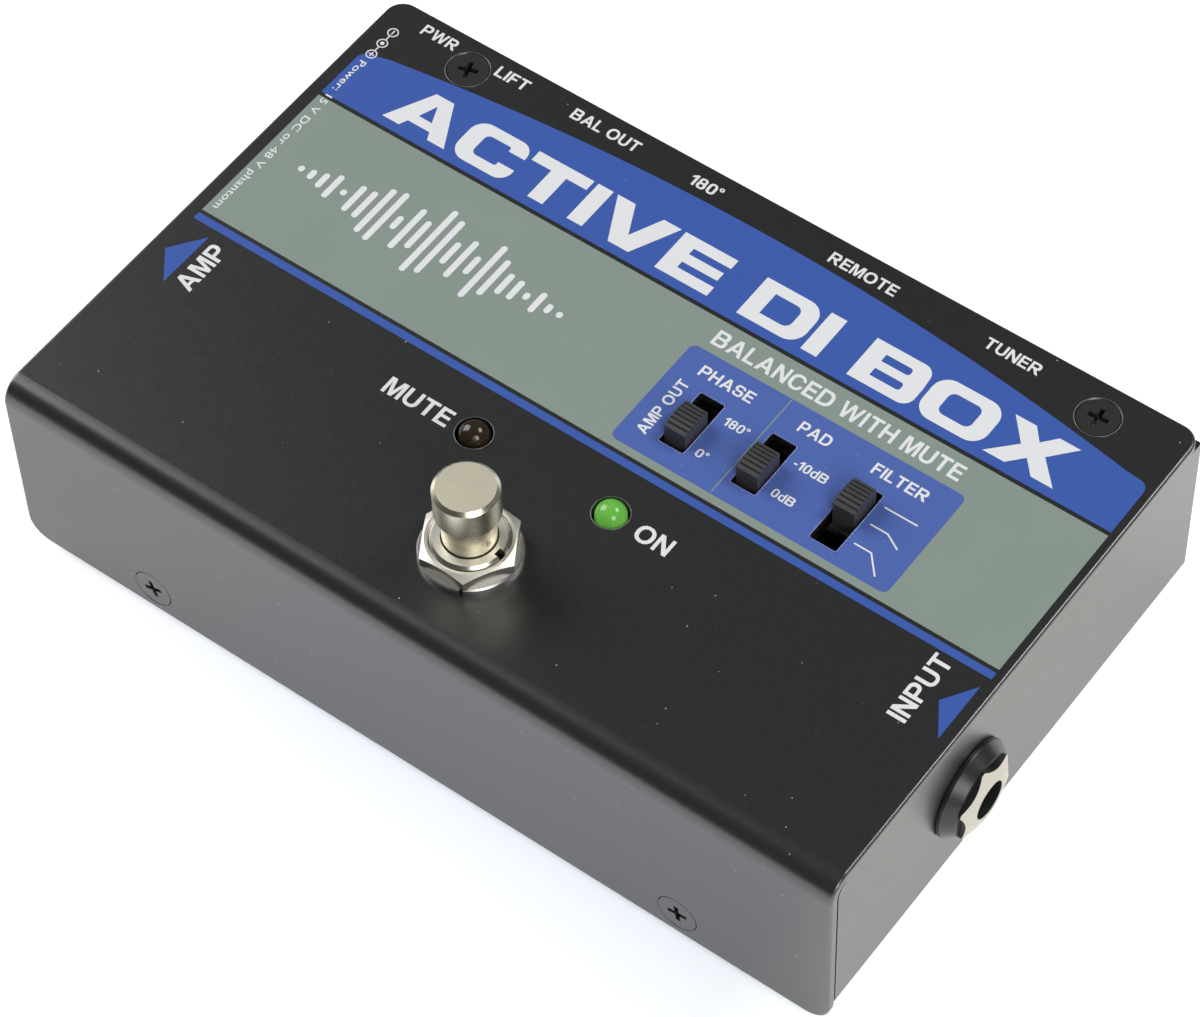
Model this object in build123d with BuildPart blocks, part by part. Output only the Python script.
from build123d import *
import os

# Direct injection box: a bent steel base pan with a screwed-on cover, a footswitch, five slide
# switches, four quarter-inch jacks, a three-pin audio output and a barrel power inlet.
# Frame: millimetres, origin on the floor under the middle of the box, +X along its length,
# +Y towards the rear connectors, +Z up.

os.makedirs("parts", exist_ok=True)

# ---- Driving dimensions ----
box_length = 152.4
box_depth = 97.5
box_height = 36.0
pad_thickness = 2.5
sheet = 1.9

cover_bend = 3.9
flange_corner = 4.0
flange_drop = 0.9
plate_corner = 3.25
rim_round = 0.55
base_bend = 3.4
wall_inset = 0.25
base_setback = 2.2
lip_height = 11.0
top_flange_depth = 11.0

board_thickness = 1.6
main_board_height = 5.0
switch_board_drop = 6.1
bench_gap = 0.1
end_wall_gap = 0.3

# ---- Levels and faces worked out from them ----
front_y = -box_depth / 2
rear_y = box_depth / 2
side_x = box_length / 2
floor_z = pad_thickness
top_z = floor_z + box_height
flange_z = floor_z - flange_drop
plate_under_z = top_z - sheet
wall_x = side_x - wall_inset
wall_inner_x = wall_x - sheet
wall_top_z = plate_under_z - bench_gap
end_wall_top_z = plate_under_z - end_wall_gap
lip_y = front_y + base_setback
lip_inner_y = lip_y + sheet
rear_inner_y = rear_y - sheet
inner_floor_z = floor_z + sheet
main_under_z = inner_floor_z + main_board_height
main_top_z = main_under_z + board_thickness
switch_top_z = plate_under_z - switch_board_drop
switch_under_z = switch_top_z - board_thickness
pin_tip_z = main_under_z - 0.6

# ---- Places of the controls ----
footswitch_y = front_y + 17.25
lamp_y = front_y + 34.6
lamp_x = 12.7
lamp_hole = 3.0
jack_z = floor_z + 18.0
end_jack_y = front_y + 35.4
remote_x = 17.2
tuner_x = 45.1
output_x = -32.5
power_x = -65.6
power_z = main_top_z + 6.5
lift_x = -51.0
polarity_x = -12.6
rear_switch_z = main_top_z + 4.3

top_screws = [(-57.5, 42.75, 18), (61.55, 42.4, 5)]
front_screws = [(-50.5, 6.75, 18), (49.3, 6.75, 7)]
screw_radius = 1.75
screw_head = 3.4
countersink = 3.65

# name, place along X, middle of the slot along Y, slot length and width, travel, knob side at rest
top_switches = {
    "phase": (12.7, 6.25, 11.3, 4.9, 3.0, -1),
    "pad": (25.85, 6.25, 11.4, 4.9, 3.0, -1),
    "filter": (41.25, 5.55, 12.9, 5.2, 4.0, 1),
}
rear_switches = {"lift": lift_x, "polarity": polarity_x}
rear_slot = (10.5, 4.5, 3.0, -1)

jack_bore = 3.25
jack_bushing = 5.7
jack_hole = 5.9
star_turn = 37.0
footswitch_bushing_radius = 5.95


# ---- Planes that the sub-parts are drawn on ----
def upward(x, y, z):
    """A plane at a point, facing up."""
    return Plane((x, y, z))


def facing(x, y, z, outward, across):
    """A plane at a point, facing outward, with its own X direction across."""
    return Plane((x, y, z), x_dir=across, z_dir=outward)


def downward(x, y, z):
    """A plane at a point, facing down."""
    return Plane((x, y, z), x_dir=(1, 0, 0), z_dir=(0, 0, -1))


def spun(frame, degrees):
    """The same plane, turned about its own normal."""
    return Plane(frame.location * Rot(0, 0, degrees))


footswitch_frame = upward(0, footswitch_y, top_z)
jack_frames = {
    "input": facing(wall_x, end_jack_y, jack_z, (1, 0, 0), (0, 1, 0)),
    "amp": facing(-wall_x, end_jack_y, jack_z, (-1, 0, 0), (0, -1, 0)),
    "remote": facing(remote_x, rear_y, jack_z, (0, 1, 0), (-1, 0, 0)),
    "tuner": facing(tuner_x, rear_y, jack_z, (0, 1, 0), (-1, 0, 0)),
}
output_frame = facing(output_x, rear_y, jack_z, (0, 1, 0), (-1, 0, 0))
power_frame = facing(power_x, rear_y, power_z, (0, 1, 0), (-1, 0, 0))
switch_frames = {
    name: upward(x, y, top_z) for name, (x, y, *_) in top_switches.items()
}
switch_frames.update(
    {
        name: facing(x, rear_y, rear_switch_z, (0, 1, 0), (0, 0, 1))
        for name, x in rear_switches.items()
    }
)
switch_sizes = {name: sizes[2:] for name, sizes in top_switches.items()}
switch_sizes.update({name: rear_slot for name in rear_switches})

# ---- Places of pins and screws on the two boards ----
board_corners = [(x, y) for x in (-64.0, 64.0) for y in (-36.0, 26.0)]
spacer_places = [(-15.3, -4.5), (-15.3, 15.6), (43.5, -15.3), (43.5, 15.6)]
header_place = (-4.0, 8.0)
header_pitch = 2.54
footswitch_pin_pitch = (4.8, 5.2)
lamp_pin_pitch = 2.54
switch_pin_pitch = (3.6, 3.0)
jack_pin_depths = (22.0, 10.0)


def save(builder, name):
    """Label a finished sub-part and write it to its own file."""
    builder.part.label = name
    export_step(builder.part, f"parts/{name}.step")


def turn(frame, outline, mode=Mode.ADD):
    """Revolve a closed outline of (radius, height) points about the frame's normal."""
    with BuildSketch(Plane(frame.origin, x_dir=frame.x_dir, z_dir=-frame.y_dir)) as profile:
        with BuildLine():
            Polyline(*outline, close=True)
        make_face()
    revolve(profile.sketch, axis=Axis(frame.origin, frame.z_dir), mode=mode)


def block(width, depth, low, high, x=0.0, y=0.0, mode=Mode.ADD):
    """A box between two heights of the frame in use, centred on x and y."""
    with Locations((x, y, (low + high) / 2)):
        Box(width, depth, high - low, mode=mode)


def rod(radius, low, high, x=0.0, y=0.0, mode=Mode.ADD):
    """A cylinder between two heights of the frame in use."""
    with Locations((x, y, (low + high) / 2)):
        Cylinder(radius, high - low, mode=mode)


# ---- Enclosure ----
def make_cover():
    """Top plate and front flange, bent from one sheet."""
    with BuildPart() as cover:
        with BuildSketch(Plane.YZ) as section:
            with BuildLine():
                Polyline(
                    (rear_y, top_z),
                    (front_y, top_z),
                    (front_y, flange_z),
                    (front_y + sheet, flange_z),
                    (front_y + sheet, plate_under_z),
                    (rear_y, plate_under_z),
                    close=True,
                )
            make_face()
            corners = section.vertices().filter_by(
                lambda v: v.Y > flange_z + 1 and v.X < front_y + sheet + 1
            ).sort_by(Axis.X)
            fillet(corners[0], cover_bend)
            inner = section.vertices().sort_by_distance((front_y + sheet, plate_under_z, 0))[0]
            fillet(inner, cover_bend - sheet)
        extrude(amount=side_x, both=True)
        fillet(cover.edges().filter_by(Axis.Z).group_by(Axis.Y)[-1], plate_corner)
        fillet(cover.edges().filter_by(Axis.Y).group_by(Axis.Z)[0], flange_corner)
        fillet(rim_edges(cover), rim_round)
        with Locations((0, footswitch_y, top_z - sheet / 2)):
            Cylinder(footswitch_bushing_radius + 0.15, sheet * 2, mode=Mode.SUBTRACT)
        with Locations(*[(x, lamp_y, top_z - sheet / 2) for x in (-lamp_x, lamp_x)]):
            Cylinder(lamp_hole, sheet * 2, mode=Mode.SUBTRACT)
        for x, y, slot_length, slot_width, *_ in top_switches.values():
            with BuildSketch(Plane.XY.offset(top_z + 1)):
                with Locations((x, y)):
                    RectangleRounded(slot_width, slot_length, 0.4)
            extrude(amount=-sheet - 2, mode=Mode.SUBTRACT)
        heads = [upward(x, y, top_z) for x, y, _ in top_screws]
        heads += [facing(x, front_y, z, (0, -1, 0), (1, 0, 0)) for x, z, _ in front_screws]
        with Locations(*heads):
            CounterSinkHole(screw_radius + 0.15, countersink, sheet + 1, 90)
    save(cover, "cover")


def rim_edges(cover):
    """The edges where the cover's two skins meet its cut rim, all the way round."""
    edges = []
    for edge in cover.edges():
        middle = edge.center(CenterOf.MASS)
        on_rim = (
            abs(middle.X) > side_x - 0.01
            or middle.Y > rear_y - 0.01
            or middle.Z < flange_z + 0.01
        )
        corner = edge.geom_type == GeomType.CIRCLE and edge.radius in (
            plate_corner,
            flange_corner,
        )
        if (on_rim or corner) and edge.length > sheet + 0.01:
            edges.append(edge)
    return edges


def pan_shape(inset, bend, top):
    """A solid tray shape with its lower edges rounded, inset from the outside of the pan."""
    depth = rear_y - lip_y - 2 * inset
    middle_y = (lip_y + rear_y) / 2
    with BuildPart() as shape:
        block(2 * (wall_x - inset), depth, floor_z + inset, top, y=middle_y)
        fillet(shape.faces().sort_by(Axis.Z)[0].edges(), bend)
    return shape.part


def make_base_pan():
    """Floor, end walls, rear wall with its inward flange, and front lip."""
    outside = pan_shape(0, base_bend, wall_top_z)
    inside = pan_shape(sheet, base_bend - sheet, top_z)
    flange_x = wall_inner_x - 4.0
    relief = 1.2
    seam = 0.2
    with BuildPart() as pan:
        add(outside)
        add(inside, mode=Mode.SUBTRACT)
        lip_cut_z = floor_z + lip_height
        block(2 * wall_inner_x, 3 * sheet, lip_cut_z, top_z, y=lip_y, mode=Mode.SUBTRACT)
        block(
            2 * flange_x,
            top_flange_depth,
            wall_top_z - sheet,
            wall_top_z,
            y=rear_inner_y - top_flange_depth / 2,
        )
        for side in (-1, 1):
            end_x = side * (wall_x - sheet / 2)
            block(sheet, 2 * box_depth, end_wall_top_z, top_z, end_x, mode=Mode.SUBTRACT)
            notch_x = side * (flange_x + relief / 2)
            block(relief, 3 * sheet, wall_top_z - 4, top_z, notch_x, rear_y, Mode.SUBTRACT)
            seam_x = side * (wall_inner_x - seam / 2)
            seam_z = floor_z + base_bend
            block(seam, 3 * sheet, seam_z, top_z, seam_x, rear_y, Mode.SUBTRACT)
            block(seam, 3 * sheet, seam_z, top_z, seam_x, lip_y, Mode.SUBTRACT)
        flange_bend = pan.edges().filter_by(Axis.X).filter_by(
            lambda e: e.center().Y > rear_y - 0.01
            and e.center().Z > wall_top_z - 0.01
            and abs(e.center().X) < 1
        )
        fillet(flange_bend, 2.6)
        wall_corners = pan.edges().filter_by(Axis.X).filter_by(
            lambda e: e.center().Y < lip_y + 0.01 and e.center().Z > end_wall_top_z - 0.01
        )
        fillet(wall_corners, cover_bend - sheet + 0.6)
        with Locations(*[(x, y, wall_top_z - sheet / 2) for x, y, _ in top_screws]):
            Cylinder(screw_radius + 0.15, 2 * sheet, mode=Mode.SUBTRACT)
        for x, z, _ in front_screws:
            with Locations(Location((x, lip_y + sheet / 2, z), (90, 0, 0))):
                Cylinder(screw_radius + 0.03, 2 * sheet, mode=Mode.SUBTRACT)
        with Locations(*[(x, y, floor_z + sheet / 2) for x, y in board_corners]):
            Cylinder(2.1, 2 * sheet, mode=Mode.SUBTRACT)
        with Locations(*[frame.location for frame in jack_frames.values()]):
            Cylinder(jack_hole, 3 * sheet, mode=Mode.SUBTRACT)
        with Locations(output_frame.location):
            Cylinder(9.5, 3 * sheet, mode=Mode.SUBTRACT)
        with Locations(*[output_frame.location * Pos(x, y, 0) for x, y in output_screws]):
            Cylinder(1.6, 3 * sheet, mode=Mode.SUBTRACT)
        with Locations(power_frame.location):
            Cylinder(5.1, 3 * sheet, mode=Mode.SUBTRACT)
        for name in rear_switches:
            slot_length, slot_width, *_ = rear_slot
            with Locations(switch_frames[name].location):
                Box(slot_width, slot_length, 3 * sheet, mode=Mode.SUBTRACT)
    save(pan, "base_pan")


def make_bottom_pad():
    """Soft pad stuck under the whole base."""
    margin = 3.2
    with BuildPart() as pad:
        with BuildSketch():
            with Locations((0, (lip_y + rear_y) / 2)):
                RectangleRounded(2 * (wall_x - margin), rear_y - lip_y - 2 * margin, 4.0)
        extrude(amount=pad_thickness)
        chamfer(pad.faces().sort_by(Axis.Z)[0].edges(), 0.5)
    save(pad, "bottom_pad")


def cover_screw_frames():
    """Planes on the heads of the four cover screws, each turned as its cross recess stands."""
    frames = [spun(upward(x, y, top_z - 0.05), degrees) for x, y, degrees in top_screws]
    frames += [
        spun(facing(x, front_y + 0.05, z, (0, -1, 0), (1, 0, 0)), degrees)
        for x, z, degrees in front_screws
    ]
    return frames


def make_cover_screws():
    """Four countersunk screws with cross recesses."""
    rim = 0.1
    head_depth = screw_head - screw_radius
    length = 7.4
    frames = cover_screw_frames()
    with BuildPart(*frames) as screws:
        rod(screw_radius, -length, -rim - head_depth)
        rod(screw_head, -rim, 0)
        with Locations((0, 0, -rim - head_depth / 2)):
            Cone(screw_radius, screw_head, head_depth)
        cross_recess(frames, 3.4, 0.8, 1.4)
    save(screws, "cover_screws")


def cross_recess(frames, span, width, depth):
    """Cut a cross-shaped driver recess into screws whose heads face the frames."""
    with BuildSketch(*frames) as cross:
        Rectangle(span, width)
        Rectangle(width, span)
        Circle(width * 0.78)
    extrude(cross.sketch, amount=-depth, taper=6, mode=Mode.SUBTRACT)


def make_clinch_nuts():
    """Threaded inserts pressed under the rear flange for the two top screws."""
    with BuildPart(*[downward(x, y, wall_top_z - sheet) for x, y, _ in top_screws]) as nuts:
        rod(3.5, 0, 2.4)
        rod(screw_radius + 0.03, -1, 4, mode=Mode.SUBTRACT)
    save(nuts, "clinch_nuts")


# ---- Boards and their hardware ----
def make_main_board():
    """Board under everything, drilled for each pin that passes it."""
    front, rear = -41.0, 44.0
    with BuildPart() as board:
        with BuildSketch(Plane.XY.offset(main_under_z)):
            with Locations((0, (front + rear) / 2)):
                RectangleRounded(141.0, rear - front, 2.0)
            with Locations(*board_corners, *spacer_places):
                Circle(1.6, mode=Mode.SUBTRACT)
            with Locations(header_place):
                with GridLocations(header_pitch, header_pitch, 6, 2):
                    Circle(0.5, mode=Mode.SUBTRACT)
            with Locations((0, footswitch_y)):
                with GridLocations(*footswitch_pin_pitch, 3, 2):
                    Rectangle(2.0, 1.1, mode=Mode.SUBTRACT)
            with Locations(*jack_pin_places()):
                Circle(1.0, mode=Mode.SUBTRACT)
            with Locations(*output_pin_places()):
                Circle(0.9, mode=Mode.SUBTRACT)
            with Locations(*rear_switch_pin_places()):
                Circle(0.55, mode=Mode.SUBTRACT)
        extrude(amount=board_thickness)
    save(board, "main_board")


def jack_pin_places():
    """Where the contact pins of the four jacks cross the main board."""
    places = []
    for frame in jack_frames.values():
        for depth in jack_pin_depths:
            point = frame.origin - frame.z_dir * depth
            places.append((point.X, point.Y))
    return places


def output_pin_places():
    """Where the legs of the audio output's three contacts cross the main board."""
    return [(output_x - x, rear_y + output_leg_depth) for x, _ in output_pins]


def rear_switch_pin_places():
    """Where the bent pins of the two rear switches cross the main board."""
    row_y = rear_inner_y - 9.4
    return [
        (x + step * switch_pin_pitch[1], row_y - back)
        for x in rear_switches.values()
        for step in (-1, 0, 1)
        for back in (0.0, 2.5)
    ]


def make_switch_board():
    """Small board under the top plate that carries the slide switches and the lamps."""
    left, right, front, rear = -18.6, 46.8, -18.6, 18.6
    with BuildPart() as board:
        with BuildSketch(Plane.XY.offset(switch_under_z)):
            with Locations(((left + right) / 2, (front + rear) / 2)):
                RectangleRounded(right - left, rear - front, 1.5)
            with Locations(*spacer_places):
                Circle(1.6, mode=Mode.SUBTRACT)
            with Locations(header_place):
                with GridLocations(header_pitch, header_pitch, 6, 2):
                    Circle(0.5, mode=Mode.SUBTRACT)
            with Locations(*[(x, lamp_y) for x in (-lamp_x, lamp_x)]):
                with GridLocations(lamp_pin_pitch, 1, 2, 1):
                    Circle(0.45, mode=Mode.SUBTRACT)
            for x, y, *_ in top_switches.values():
                with Locations((x, y)):
                    with GridLocations(*switch_pin_pitch, 2, 3):
                        Circle(0.55, mode=Mode.SUBTRACT)
        extrude(amount=board_thickness)
    save(board, "switch_board")


def make_board_standoffs():
    """Round standoffs clinched in the base floor under the main board's corners."""
    with BuildPart(*[upward(x, y, inner_floor_z) for x, y in board_corners]) as standoffs:
        rod(3.0, 0, main_board_height)
        rod(2.05, -sheet, 0)
        rod(1.53, -sheet + 0.6, main_board_height, mode=Mode.SUBTRACT)
    save(standoffs, "board_standoffs")


def make_board_spacers():
    """Hexagonal spacers that hold the switch board above the main board."""
    height = switch_under_z - main_top_z
    with BuildPart() as spacers:
        with BuildSketch(*[upward(x, y, main_top_z) for x, y in spacer_places]):
            RegularPolygon(2.8, 6)
            Circle(1.53, mode=Mode.SUBTRACT)
        extrude(amount=height)
    save(spacers, "board_spacers")


def make_board_screws():
    """Pan-head screws: main board to base, main board to spacers, switch board to spacers."""
    frames = [upward(x, y, main_top_z) for x, y in board_corners]
    frames += [upward(x, y, switch_top_z) for x, y in spacer_places]
    frames += [downward(x, y, main_under_z) for x, y in spacer_places]
    with BuildPart(*frames) as screws:
        rod(1.5, -4.6, 0)
        rod(2.75, 0, 1.7)
        cross_recess([frame.offset(1.7) for frame in frames], 2.6, 0.6, 1.1)
    save(screws, "board_screws")


def make_board_header():
    """Plastic strips of the pin header that links the two boards."""
    with BuildPart(upward(*header_place, 0)) as header:
        block(6 * header_pitch, 2 * header_pitch, main_top_z, main_top_z + 8.5)
        block(6 * header_pitch, 2 * header_pitch, switch_under_z - 2.5, switch_under_z)
        with GridLocations(header_pitch, header_pitch, 6, 2):
            Cylinder(0.45, 80, mode=Mode.SUBTRACT)
    save(header, "board_header")


def make_header_pins():
    """Twelve long pins that run through both boards."""
    with BuildPart(upward(*header_place, (pin_tip_z + switch_top_z) / 2)) as pins:
        with GridLocations(header_pitch, header_pitch, 6, 2):
            Cylinder(0.4, switch_top_z + 0.6 - pin_tip_z)
    save(pins, "header_pins")


# ---- Footswitch: heights are counted from the top face of the cover ----
def make_footswitch():
    """Foot-operated push switch, bolted through the cover."""
    frame = footswitch_frame
    cap_top, cap_under, cap_radius, cap_bevel = 15.8, 10.0, 5.1, 0.6
    stem_radius, stem_foot = 4.15, -4.5
    rod_radius, shelf_top, shelf_under = 2.2, -13.0, -14.0
    plate_top, plate_under, box_under = -6.9, -7.7, -20.1
    bushing_top = 3.9
    nut_flats, nut_thickness = 14.0, 2.4

    with BuildPart(frame) as button:
        turn(
            frame,
            [
                (0, cap_top),
                (cap_radius - cap_bevel, cap_top),
                (cap_radius, cap_top - cap_bevel),
                (cap_radius, cap_under + 0.25),
                (cap_radius - 0.25, cap_under),
                (stem_radius, cap_under - 0.35),
                (stem_radius, stem_foot),
                (rod_radius, stem_foot),
                (rod_radius, shelf_under - 0.2),
                (0, shelf_under - 0.2),
            ],
        )
    save(button, "footswitch_button")

    with BuildPart(frame) as plunger:
        rod(4.5, shelf_under - 1.7, shelf_under - 0.2)
    save(plunger, "footswitch_plunger")

    with BuildPart() as spring:
        spring_frame = frame.offset(shelf_top + 0.5)
        with BuildLine(spring_frame) as coil:
            Helix(pitch=1.5, height=7.5, radius=3.25)
        with BuildSketch(Plane(origin=coil.line @ 0, z_dir=coil.line % 0)):
            Circle(0.42)
        sweep(is_frenet=True)
    save(spring, "footswitch_spring")

    with BuildPart(frame) as bushing:
        rod(footswitch_bushing_radius, plate_top, bushing_top)
        chamfer(bushing.edges().group_by(Axis.Z)[-1], 0.35)
        block(16.6, 16.6, plate_under, plate_top)
        rod(4.35, plate_under - 1, bushing_top + 1, mode=Mode.SUBTRACT)
        block(1.5, 1.3, plate_top + 1, bushing_top + 1, x=5.75, mode=Mode.SUBTRACT)
    save(bushing, "footswitch_bushing")

    with BuildPart(frame) as housing:
        block(16.6, 16.6, box_under, plate_under)
        rod(6.2, shelf_top, plate_under, mode=Mode.SUBTRACT)
        rod(rod_radius + 0.15, shelf_under, shelf_top, mode=Mode.SUBTRACT)
        rod(6.2, box_under + 1.2, shelf_under, mode=Mode.SUBTRACT)
        with Locations((0, 0, box_under)):
            with GridLocations(*footswitch_pin_pitch, 3, 2):
                Box(1.8, 0.9, 4, mode=Mode.SUBTRACT)
    save(housing, "footswitch_housing")

    with BuildPart(frame) as terminals:
        low, high = pin_tip_z - top_z, box_under + 1.15
        with Locations((0, 0, (low + high) / 2)):
            with GridLocations(*footswitch_pin_pitch, 3, 2):
                Box(1.7, 0.8, high - low)
    save(terminals, "footswitch_terminals")

    pair = [
        hex_nut(frame.offset(low), nut_thickness, nut_flats)
        for low in (1.1, -sheet - nut_thickness)
    ]
    with BuildPart() as nuts:
        add(pair)
    save(nuts, "footswitch_nuts")

    with BuildPart(frame) as washer:
        turn(frame, [(6.1, 0), (7.95, 0), (7.95, 0.85), (7.75, 1.1), (6.1, 1.1)])
        with BuildSketch(spun(frame, -65)):
            with Locations((7.0, 0)):
                Rectangle(3.0, 0.45, rotation=18)
        extrude(amount=2, mode=Mode.SUBTRACT)
    save(washer, "footswitch_lock_washer")


def hex_nut(frame, thickness, flats):
    """A hexagonal nut with chamfered corners, standing on its frame."""
    corner = flats / 2 / 0.8660254
    face = flats / 2 - 0.25
    drop = (corner + 0.3 - face) * 0.577
    bore = footswitch_bushing_radius + 0.05
    outline = [
        (bore, 0),
        (corner + 0.3, 0),
        (corner + 0.3, thickness - drop),
        (face, thickness),
        (bore + 0.3, thickness),
        (bore, thickness - 0.3),
    ]
    with BuildPart() as turned:
        turn(frame, outline)
    with BuildPart() as prism:
        with BuildSketch(frame):
            RegularPolygon(corner, 6)
        extrude(amount=thickness)
    return prism.part & turned.part


# ---- Indicator lamps ----
def make_lamps():
    """Two domed lamps on spacers, their legs through the switch board."""
    apex = top_z + 1.9
    flange_under = apex - 8.6
    dome = 2.5
    for name, x in (("mute", -lamp_x), ("on", lamp_x)):
        frame = upward(x, lamp_y, 0)
        with BuildPart(frame) as lamp:
            rod(dome, flange_under, apex - dome)
            with Locations((0, 0, apex - dome)):
                Sphere(dome)
            rod(2.9, flange_under, flange_under + 1.0)
        save(lamp, f"lamp_{name}")

    frames = [upward(x, lamp_y, 0) for x in (-lamp_x, lamp_x)]
    with BuildPart(*frames) as spacers:
        rod(2.7, switch_top_z, flange_under)
        with Locations((0, 0, switch_top_z)):
            with GridLocations(lamp_pin_pitch, 1, 2, 1):
                Cylinder(0.4, 10, mode=Mode.SUBTRACT)
    save(spacers, "lamp_spacers")

    with BuildPart(*frames) as legs:
        middle = (switch_under_z - 1.2 + flange_under) / 2
        with Locations((0, 0, middle)):
            with GridLocations(lamp_pin_pitch, 1, 2, 1):
                Cylinder(0.3, flange_under - switch_under_z + 1.2)
    save(legs, "lamp_legs")


# ---- Slide switches: the frame's Y is the direction of travel, its Z points out ----
def make_slide_switch(name):
    """Knob and metal frame of one slide switch."""
    frame = switch_frames[name]
    slot_length, slot_width, travel, side = switch_sizes[name]
    can_top = -sheet - 0.3
    can_under = can_top - 5.4
    can_length = slot_length + 2.4 - travel / 2 + 1.0
    can_wall = 0.4
    knob_y = side * travel / 2
    knob_length, knob_width = 5.7, 3.9
    crown = 3.4 if name in top_switches else 0.8
    tail_top = can_top - can_wall - 0.1

    with BuildPart(frame) as can:
        block(6.6, can_length, can_under, can_top)
        block(
            6.6 - 2 * can_wall,
            can_length - 2 * can_wall,
            can_under - 1,
            can_top - can_wall,
            mode=Mode.SUBTRACT,
        )
        window = knob_length + travel + 0.6
        block(knob_width + 0.4, window, can_top - 1, can_top + 1, mode=Mode.SUBTRACT)
    save(can, f"{name}_switch_frame")

    with BuildPart(frame) as knob:
        with BuildSketch(Plane(frame.origin, x_dir=frame.y_dir, z_dir=frame.x_dir)):
            with BuildLine():
                half = knob_length / 2
                shoulder = crown - 0.7
                Polyline(
                    (knob_y - half, shoulder),
                    (knob_y - half, tail_top - 0.1),
                    (knob_y + half, tail_top - 0.1),
                    (knob_y + half, shoulder),
                )
                ThreePointArc((knob_y + half, shoulder), (knob_y, crown), (knob_y - half, shoulder))
            make_face()
        extrude(amount=knob_width / 2, both=True)
        groove_steps = (0.42, 1.26, 2.1)
        for step in groove_steps + tuple(-s for s in groove_steps):
            arc_drop = 0.7 * (step / half) ** 2
            groove_low = crown - arc_drop - 0.3
            block(knob_width + 1, 0.34, groove_low, crown + 1, y=knob_y + step, mode=Mode.SUBTRACT)
        block(5.2, knob_length + 1.0, tail_top - 1.3, tail_top, y=knob_y)
    save(knob, f"{name}_switch_knob")


def make_switch_bases():
    """Insulating plates that close the backs of the five slide switches."""
    with BuildPart() as bases:
        for name, frame in switch_frames.items():
            slot_length, _, travel, _ = switch_sizes[name]
            length = slot_length + 2.4 - travel / 2 + 1.0 - 0.84
            back = -sheet - 5.7
            with BuildSketch(frame.offset(back)):
                Rectangle(5.76, length)
                with GridLocations(*switch_pin_pitch, 2, 3):
                    Circle(0.48, mode=Mode.SUBTRACT)
            extrude(amount=1.2)
    save(bases, "slide_switch_bases")


def make_switch_pins():
    """Contact pins of the slide switches, straight on the top ones, bent down on the rear ones."""
    back = -sheet - 5.7
    with BuildPart() as pins:
        for name in top_switches:
            frame = switch_frames[name]
            with BuildSketch(frame.offset(back + 1.5)):
                with GridLocations(*switch_pin_pitch, 2, 3):
                    Circle(0.45)
            extrude(amount=-(back + 1.5) - (top_z - switch_under_z) - 1.0)
        for name, x in rear_switches.items():
            frame = switch_frames[name]
            with BuildSketch(frame.offset(back + 1.5)):
                with GridLocations(*switch_pin_pitch, 2, 3):
                    Circle(0.45)
            extrude(amount=-1.0)
    save(pins, "slide_switch_pins")


# ---- Quarter-inch jacks: heights are counted outwards from the outer face of the wall ----
def make_jack(name):
    """Body with threaded bushing, round dress nut and metal face of one jack."""
    frame = jack_frames[name]
    body_back, wall_back = -sheet - 27.0, -sheet
    below = jack_z - main_top_z - 0.1
    above = 7.5
    bore_end = body_back + 1.2
    bushing_end = 2.65

    with BuildPart(frame) as body:
        block(16.0, below + above, body_back, wall_back, y=(above - below) / 2)
        rod(jack_bushing, wall_back, bushing_end)
        rod(jack_bore + 0.2, bore_end, 0.05, mode=Mode.SUBTRACT)
        rod(jack_bore, 0.05, bushing_end + 1, mode=Mode.SUBTRACT)
        for depth in jack_pin_depths:
            block(3.2, 4.9, -depth - 5.0, -depth + 3.0, y=-2.45, mode=Mode.SUBTRACT)
            block(1.6, below, -depth - 0.5, -depth + 0.5, y=-below / 2 - 1, mode=Mode.SUBTRACT)
    save(body, f"{name}_jack_body")

    with BuildPart(frame) as nut:
        bore = jack_bushing + 0.05
        turn(frame, [(bore, 0), (8.35, 0), (8.35, 0.75), (7.1, 2.65), (bore, 2.65)])
        fillet(nut.edges().filter_by(GeomType.CIRCLE).sort_by(SortBy.RADIUS)[-2:], 0.3)
    save(nut, f"{name}_jack_nut")

    with BuildPart(frame) as face:
        turn(
            frame,
            [
                (jack_bore, 2.7),
                (7.0, 2.7),
                (7.0, 3.15),
                (3.95, 4.05),
                (jack_bore + 0.25, 4.15),
                (jack_bore, 4.0),
            ],
        )
        with BuildSketch(frame.offset(2.0)):
            with PolarLocations(13.85, 6, start_angle=star_turn + 30):
                Circle(8.25)
        extrude(amount=4, mode=Mode.SUBTRACT)
    save(face, f"{name}_jack_face")


def make_jack_contacts():
    """Spring contacts of the four jacks: a strip with a raised bump and a pin to the board."""
    strip_top, strip_under = -4.0, -4.4
    pin_end = -(jack_z - pin_tip_z)
    with BuildPart() as contacts:
        for frame in jack_frames.values():
            for depth in jack_pin_depths:
                side = Plane(frame.origin, x_dir=frame.z_dir, z_dir=-frame.x_dir)
                with BuildSketch(side):
                    with BuildLine():
                        Polyline(
                            (-depth - 4.6, strip_under),
                            (-depth + 2.6, strip_under),
                            (-depth + 2.6, strip_top),
                            (-depth - 1.2, strip_top),
                            (-depth - 2.4, -3.6),
                            (-depth - 3.6, strip_top),
                            (-depth - 4.6, strip_top),
                            close=True,
                        )
                    make_face()
                extrude(amount=1.3, both=True)
                with BuildSketch(side):
                    with Locations((-depth, (strip_under + pin_end) / 2)):
                        Rectangle(0.6, strip_under - pin_end)
                extrude(amount=0.6, both=True)
    save(contacts, "jack_contacts")


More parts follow.
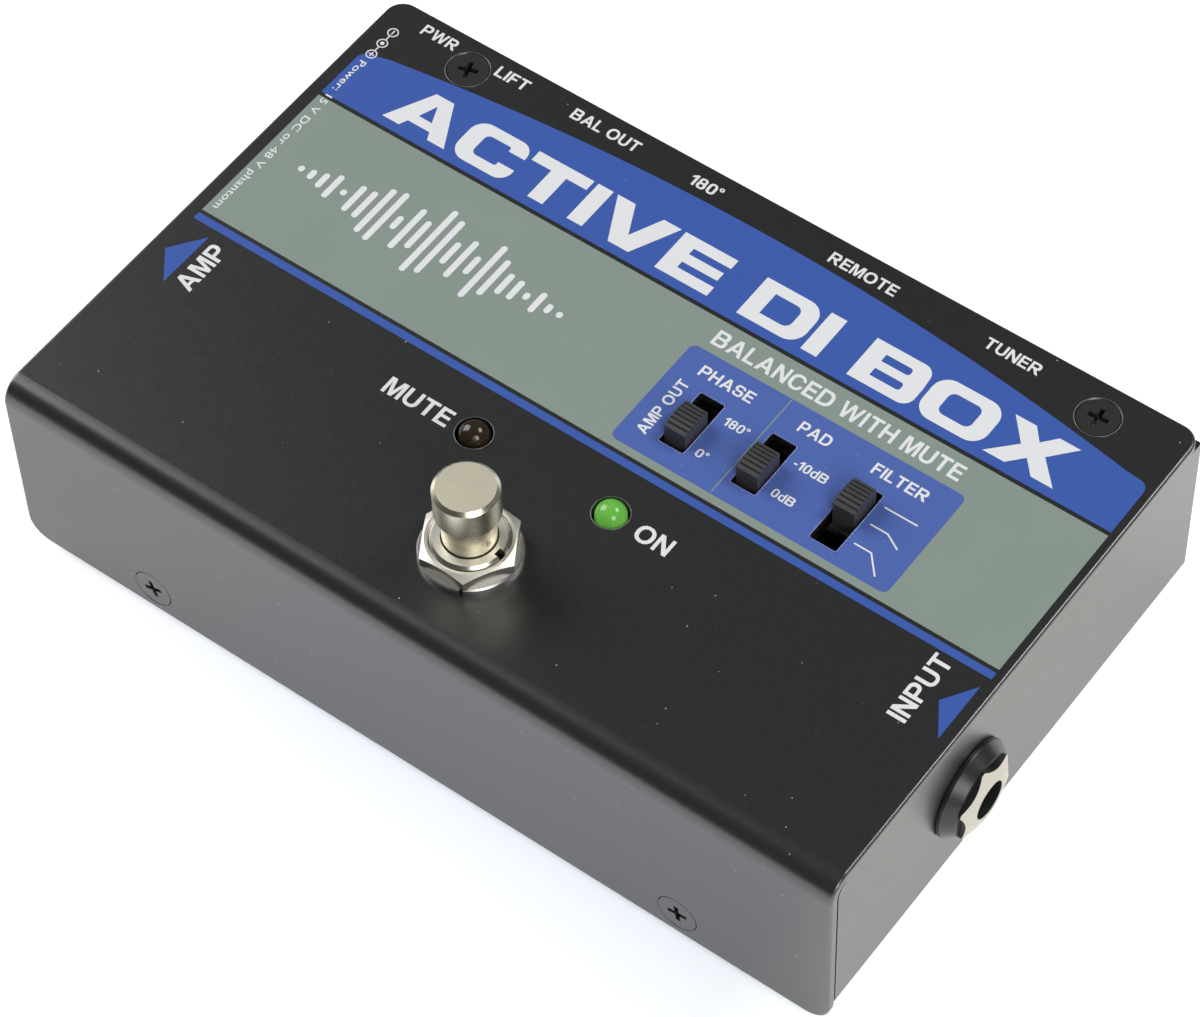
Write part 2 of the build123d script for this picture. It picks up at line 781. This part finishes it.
# ---- Three-pin audio output ----
output_screws = [(-8.2, 10.3), (8.2, -10.3)]
output_back = -sheet - 16.0
output_leg_depth = output_back - 1.5
output_pins = [(3.5, 3.5), (-3.5, 3.5), (0.0, -4.95)]


def make_output():
    """Shell with flange, insulating insert, contact pins and fixing screws."""
    frame = output_frame
    flange = 1.8
    cup = 8.0
    with BuildPart(frame) as shell:
        with BuildSketch(frame):
            RectangleRounded(22.0, 26.0, 2.5)
        extrude(amount=flange)
        chamfer(shell.faces().sort_by(Axis.Y)[-1].edges(), 0.4)
        rod(9.35, output_back, flange)
        rod(cup, output_back - 1, flange + 1, mode=Mode.SUBTRACT)
        block(2.8, 1.2, -12.0, flange + 1, y=cup, mode=Mode.SUBTRACT)
        with Locations(*[(x, y, flange) for x, y in output_screws]):
            CounterSinkHole(1.6, 2.9)
    save(shell, "output_shell")

    with BuildPart(frame) as insert:
        rod(cup - 0.02, output_back, output_back + 3.5)
        with Locations(*[(x, y, output_back) for x, y in output_pins]):
            Cylinder(1.42, 20, mode=Mode.SUBTRACT)
    save(insert, "output_insert")

    leg_low = -(jack_z - pin_tip_z)
    with BuildPart(frame) as pins:
        for x, y in output_pins:
            rod(1.4, output_back - 1.0, output_back + 3.8, x, y)
            rod(1.2, output_back + 3.8, 0.1, x, y)
        tips = pins.edges().filter_by(GeomType.CIRCLE).group_by(Axis.Y)[-1]
        fillet(tips, 0.8)
        for x, y in output_pins:
            with Locations((x, (y + leg_low) / 2, output_leg_depth)):
                Box(1.0, y - leg_low + 1.0, 1.0)
    save(pins, "output_pins")

    frames = [frame.shift_origin(frame.from_local_coords((x, y, 0))) for x, y in output_screws]
    frames = [screw.offset(flange - 0.05) for screw in frames]
    with BuildPart(*frames) as screws:
        rod(1.5, -6.0, -1.2)
        with Locations((0, 0, -0.65)):
            Cone(1.5, 2.7, 1.3)
        cross_recess(frames, 2.4, 0.6, 1.0)
    save(screws, "output_screws")


# ---- Power inlet ----
def make_power_inlet():
    """Barrel inlet: moulded body with a round nose, and its centre pin."""
    frame = power_frame
    nose = 0.6
    with BuildPart(frame) as body:
        block(9.6, 12.9, -sheet - 14.0, -sheet, y=-0.05)
        rod(5.0, -sheet, nose)
        rod(3.15, -9.75, nose + 1, mode=Mode.SUBTRACT)
        rod(1.42, -sheet - 15, 0, mode=Mode.SUBTRACT)
    save(body, "power_inlet_body")

    with BuildPart(frame) as pin:
        rod(1.4, -sheet - 13.5, -9.45)
        rod(1.05, -9.45, -0.8)
        fillet(pin.edges().filter_by(GeomType.CIRCLE).sort_by(Axis.Y)[-1], 0.5)
    save(pin, "power_inlet_pin")


# ---- Parts on the main board ----
def make_board_parts():
    """Amplifier chips, capacitors, relay and resistors that stand on the main board."""
    chips = [(-34.0, -6.0), (-34.0, 7.0), (22.0, -30.0), (36.0, -30.0)]
    with BuildPart(*[upward(x, y, main_top_z) for x, y in chips]) as amplifiers:
        block(9.6, 6.4, 0.6, 3.9)
        rod(0.7, 3.6, 4.5, x=-3.9, mode=Mode.SUBTRACT)
        for y in (-3.6, 3.6):
            with Locations((0, y, 1.0)):
                with GridLocations(2.54, 1, 4, 1):
                    Box(0.6, 0.9, 2.0)
    save(amplifiers, "amplifier_chips")

    cans = [(-40.0, -32.0), (-28.0, -32.0), (-20.0, -22.0), (20.0, 8.0), (30.0, -2.0)]
    with BuildPart(*[upward(x, y, main_top_z) for x, y in cans]) as electrolytics:
        rod(4.0, 0, 11.0)
        fillet(electrolytics.edges().filter_by(GeomType.CIRCLE).group_by(Axis.Z)[-1], 0.6)
    save(electrolytics, "electrolytic_capacitors")

    films = [(-24.0, 0.0), (-24.0, 8.0), (-50.0, 8.0), (-50.0, 16.0)]
    with BuildPart(*[upward(x, y, main_top_z) for x, y in films]) as film_capacitors:
        block(7.2, 4.5, 0.2, 9.0)
    save(film_capacitors, "film_capacitors")

    with BuildPart(upward(52.0, -34.0, main_top_z)) as relay:
        block(15.0, 7.5, 0.2, 10.0)
        chamfer(relay.edges().filter_by(Axis.Z), 0.4)
    save(relay, "mute_relay")

    rows = [(x, y) for x in (-6.0, 6.0) for y in (-6.0, -2.0, 2.0)]
    with BuildPart(*[upward(x, y, main_top_z + 1.4) for x, y in rows]) as resistors:
        with Locations(Location((0, 0, 0), (0, 90, 0))):
            Cylinder(1.1, 6.0)
        for x in (-4.2, 4.2):
            with Locations(Location((x / 1.18, 0, 0), (0, 90, 0))):
                Cylinder(0.3, 1.6)
            rod(0.3, -1.4, 0.3, x=x)
    save(resistors, "resistors")


make_cover()
make_base_pan()
make_bottom_pad()
make_cover_screws()
make_clinch_nuts()
make_main_board()
make_switch_board()
make_board_standoffs()
make_board_spacers()
make_board_screws()
make_board_header()
make_header_pins()
make_footswitch()
make_lamps()
for switch_name in switch_frames:
    make_slide_switch(switch_name)
make_switch_bases()
make_switch_pins()
for jack_name in jack_frames:
    make_jack(jack_name)
make_jack_contacts()
make_output()
make_power_inlet()
make_board_parts()
